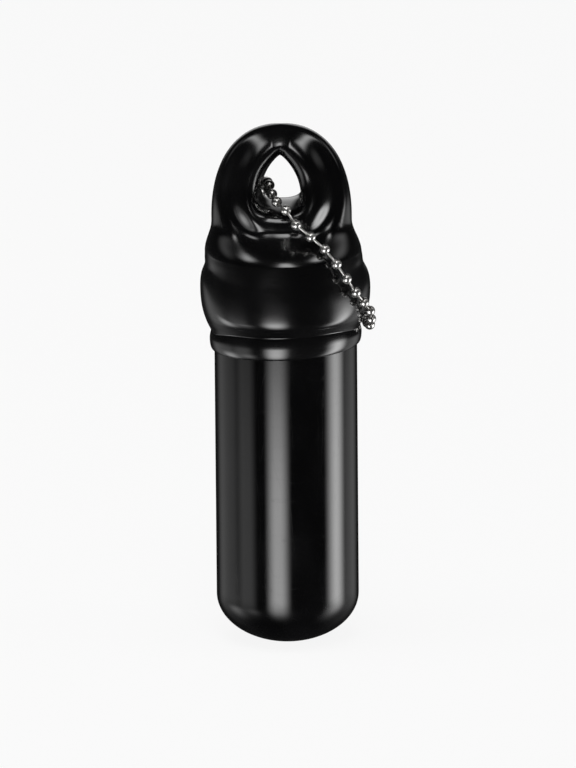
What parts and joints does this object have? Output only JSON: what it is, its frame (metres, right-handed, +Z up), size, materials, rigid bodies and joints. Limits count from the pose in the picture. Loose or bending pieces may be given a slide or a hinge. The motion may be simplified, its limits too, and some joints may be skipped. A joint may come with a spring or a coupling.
{
  "type": "floating key capsule",
  "caption": "Hard round waterproof capsule with a soft pull-off cap whose teardrop loop carries a closed nickel ball chain",
  "frame": {"origin": "middle of the small flat foot under the tube's dome, on the tube's axis", "axes": "+Z up the tube's axis to the loop, -Y the front as pictured, +X to the viewer's right; the loop's hole looks along Y"},
  "size_m": [0.0393, 0.0406, 0.1185],
  "materials": {
    "tube_plastic": "polished black moulded plastic",
    "cap_vinyl": "glossy black dipped vinyl",
    "bead_nickel": "nickel plated steel, lightly handled",
    "link_steel": "plain steel wire"
  },
  "bodies": {
    "capsule": {"capsule_tube": "tube_plastic"},
    "cap": {"loop_cap": "cap_vinyl"},
    "chain_01": {"bead_01": "bead_nickel", "link_01": "link_steel", "link_16": "link_steel"},
    "chain_02": {"bead_02": "bead_nickel", "link_02": "link_steel"},
    "chain_03": {"bead_03": "bead_nickel", "link_03": "link_steel"},
    "chain_04": {"bead_04": "bead_nickel", "link_04": "link_steel"},
    "chain_05": {"bead_05": "bead_nickel", "link_05": "link_steel"},
    "chain_06": {"bead_06": "bead_nickel", "link_06": "link_steel"},
    "chain_07": {"bead_07": "bead_nickel", "link_07": "link_steel"},
    "chain_08": {"bead_08": "bead_nickel", "link_08": "link_steel"},
    "chain_09": {"bead_09": "bead_nickel", "link_09": "link_steel"},
    "chain_10": {"bead_10": "bead_nickel", "link_10": "link_steel"},
    "chain_11": {"bead_11": "bead_nickel", "link_11": "link_steel"},
    "chain_12": {"bead_12": "bead_nickel", "link_12": "link_steel"},
    "chain_13": {"bead_13": "bead_nickel", "link_13": "link_steel"},
    "chain_14": {"bead_14": "bead_nickel", "link_14": "link_steel"},
    "chain_15": {"bead_15": "bead_nickel", "link_15": "link_steel"},
    "chain_16": {"chain_connector": "bead_nickel", "bead_16": "bead_nickel", "bead_29": "bead_nickel", "link_28": "link_steel"},
    "chain_17": {"bead_17": "bead_nickel", "link_17": "link_steel"},
    "chain_18": {"bead_18": "bead_nickel", "link_18": "link_steel"},
    "chain_19": {"bead_19": "bead_nickel", "link_19": "link_steel"},
    "chain_20": {"bead_20": "bead_nickel", "link_20": "link_steel"},
    "chain_21": {"bead_21": "bead_nickel", "link_21": "link_steel"},
    "chain_22": {"bead_22": "bead_nickel", "link_22": "link_steel"},
    "chain_23": {"bead_23": "bead_nickel", "link_23": "link_steel"},
    "chain_24": {"bead_24": "bead_nickel", "link_24": "link_steel"},
    "chain_25": {"bead_25": "bead_nickel", "link_25": "link_steel"},
    "chain_26": {"bead_26": "bead_nickel", "link_26": "link_steel"},
    "chain_27": {"bead_27": "bead_nickel", "link_27": "link_steel"},
    "chain_28": {"bead_28": "bead_nickel"}
  },
  "joints": [
    {"name": "cap_pull", "type": "slide", "parent": "capsule", "child": "cap", "axis": [0, 0, 1], "range_m": [0, 0.03]},
    {"name": "chain_swing", "type": "hinge", "parent": "cap", "child": "chain_01", "pos_m": [-0.0028, -0.0037, 0.1032], "axis": [0, -1, 0], "range_deg": [0, 10]},
    {"name": "swivel_02", "type": "hinge", "parent": "chain_01", "child": "chain_02", "pos_m": [-0.00186, -0.00732, 0.10243], "axis": [-0.3479, 0.1077, -0.9313], "range_deg": [0, 15]},
    {"name": "swivel_03", "type": "hinge", "parent": "chain_02", "child": "chain_03", "pos_m": [0.00011, -0.01085, 0.10135], "axis": [-0.8552, -0.4048, -0.3235], "range_deg": [0, 15]},
    {"name": "swivel_04", "type": "hinge", "parent": "chain_03", "child": "chain_04", "pos_m": [0.00231, -0.01309, 0.09864], "axis": [-0.8296, -0.1305, -0.5429], "range_deg": [0, 15]},
    {"name": "swivel_05", "type": "hinge", "parent": "chain_04", "child": "chain_05", "pos_m": [0.00543, -0.01353, 0.09593], "axis": [-0.5574, -0.5679, -0.6056], "range_deg": [0, 15]},
    {"name": "swivel_06", "type": "hinge", "parent": "chain_05", "child": "chain_06", "pos_m": [0.00857, -0.01392, 0.09317], "axis": [-0.4554, -0.7953, -0.4002], "range_deg": [0, 15]},
    {"name": "swivel_07", "type": "hinge", "parent": "chain_06", "child": "chain_07", "pos_m": [0.01122, -0.01479, 0.09004], "axis": [-0.6819, -0.6255, -0.3792], "range_deg": [0, 15]},
    {"name": "swivel_08", "type": "hinge", "parent": "chain_07", "child": "chain_08", "pos_m": [0.01348, -0.01443, 0.08654], "axis": [-0.5912, -0.6607, -0.4626], "range_deg": [0, 15]},
    {"name": "swivel_09", "type": "hinge", "parent": "chain_08", "child": "chain_09", "pos_m": [0.01551, -0.01319, 0.08309], "axis": [-0.4747, -0.692, -0.5438], "range_deg": [0, 15]},
    {"name": "swivel_10", "type": "hinge", "parent": "chain_09", "child": "chain_10", "pos_m": [0.01736, -0.0109, 0.08011], "axis": [-0.3752, -0.5904, -0.7146], "range_deg": [0, 15]},
    {"name": "swivel_11", "type": "hinge", "parent": "chain_10", "child": "chain_11", "pos_m": [0.01873, -0.00798, 0.07743], "axis": [-0.3812, -0.5145, -0.7681], "range_deg": [0, 15]},
    {"name": "swivel_12", "type": "hinge", "parent": "chain_11", "child": "chain_12", "pos_m": [0.01907, -0.00475, 0.07478], "axis": [-0.4167, -0.5565, -0.7188], "range_deg": [0, 15]},
    {"name": "swivel_13", "type": "hinge", "parent": "chain_12", "child": "chain_13", "pos_m": [0.01887, -0.00119, 0.07258], "axis": [-0.4039, -0.4906, -0.7721], "range_deg": [0, 15]},
    {"name": "swivel_14", "type": "hinge", "parent": "chain_13", "child": "chain_14", "pos_m": [0.01842, 0.0029, 0.07187], "axis": [-0.2635, -0.1592, -0.9514], "range_deg": [0, 15]},
    {"name": "swivel_15", "type": "hinge", "parent": "chain_14", "child": "chain_15", "pos_m": [0.01755, 0.007, 0.07197], "axis": [-0.3946, -0.0501, -0.9175], "range_deg": [0, 15]},
    {"name": "swivel_16", "type": "hinge", "parent": "chain_15", "child": "chain_16", "pos_m": [0.01623, 0.01087, 0.07287], "axis": [-0.5141, 0.0354, -0.857], "range_deg": [0, 15]},
    {"name": "swivel_17", "type": "hinge", "parent": "chain_01", "child": "chain_17", "pos_m": [-0.00332, -0.00006, 0.10424], "axis": [0.7907, 0.2699, -0.5494], "range_deg": [0, 15]},
    {"name": "swivel_18", "type": "hinge", "parent": "chain_17", "child": "chain_18", "pos_m": [-0.00375, 0.00409, 0.10406], "axis": [0.6726, 0.0127, -0.7399], "range_deg": [0, 15]},
    {"name": "swivel_19", "type": "hinge", "parent": "chain_18", "child": "chain_19", "pos_m": [-0.00412, 0.0082, 0.10328], "axis": [0.7149, -0.0764, -0.695], "range_deg": [0, 15]},
    {"name": "swivel_20", "type": "hinge", "parent": "chain_19", "child": "chain_20", "pos_m": [-0.00415, 0.01166, 0.10096], "axis": [0.9971, -0.0455, -0.0602], "range_deg": [0, 15]},
    {"name": "swivel_21", "type": "hinge", "parent": "chain_20", "child": "chain_21", "pos_m": [-0.00386, 0.01427, 0.0977], "axis": [0.99, 0.0495, 0.1324], "range_deg": [0, 15]},
    {"name": "swivel_22", "type": "hinge", "parent": "chain_21", "child": "chain_22", "pos_m": [-0.00353, 0.01634, 0.09406], "axis": [0.8366, 0.4444, 0.3203], "range_deg": [0, 13]},
    {"name": "swivel_23", "type": "hinge", "parent": "chain_22", "child": "chain_23", "pos_m": [-0.00239, 0.01878, 0.09086], "axis": [0.9346, -0.0085, 0.3557], "range_deg": [0, 15]},
    {"name": "swivel_24", "type": "hinge", "parent": "chain_23", "child": "chain_24", "pos_m": [-0.00006, 0.02, 0.08763], "axis": [0.8124, -0.1165, 0.5713], "range_deg": [0, 15]},
    {"name": "swivel_25", "type": "hinge", "parent": "chain_24", "child": "chain_25", "pos_m": [0.00263, 0.02039, 0.08444], "axis": [0.7497, -0.2415, 0.6162], "range_deg": [0, 15]},
    {"name": "swivel_26", "type": "hinge", "parent": "chain_25", "child": "chain_26", "pos_m": [0.00541, 0.02029, 0.08129], "axis": [0.7257, -0.2199, 0.6519], "range_deg": [0, 15]},
    {"name": "swivel_27", "type": "hinge", "parent": "chain_26", "child": "chain_27", "pos_m": [0.00851, 0.01935, 0.07864], "axis": [0.5968, -0.1684, 0.7845], "range_deg": [0, 15]},
    {"name": "swivel_28", "type": "hinge", "parent": "chain_27", "child": "chain_28", "pos_m": [0.01158, 0.0175, 0.07647], "axis": [0.5217, -0.1086, 0.8462], "range_deg": [0, 15]}
  ]
}
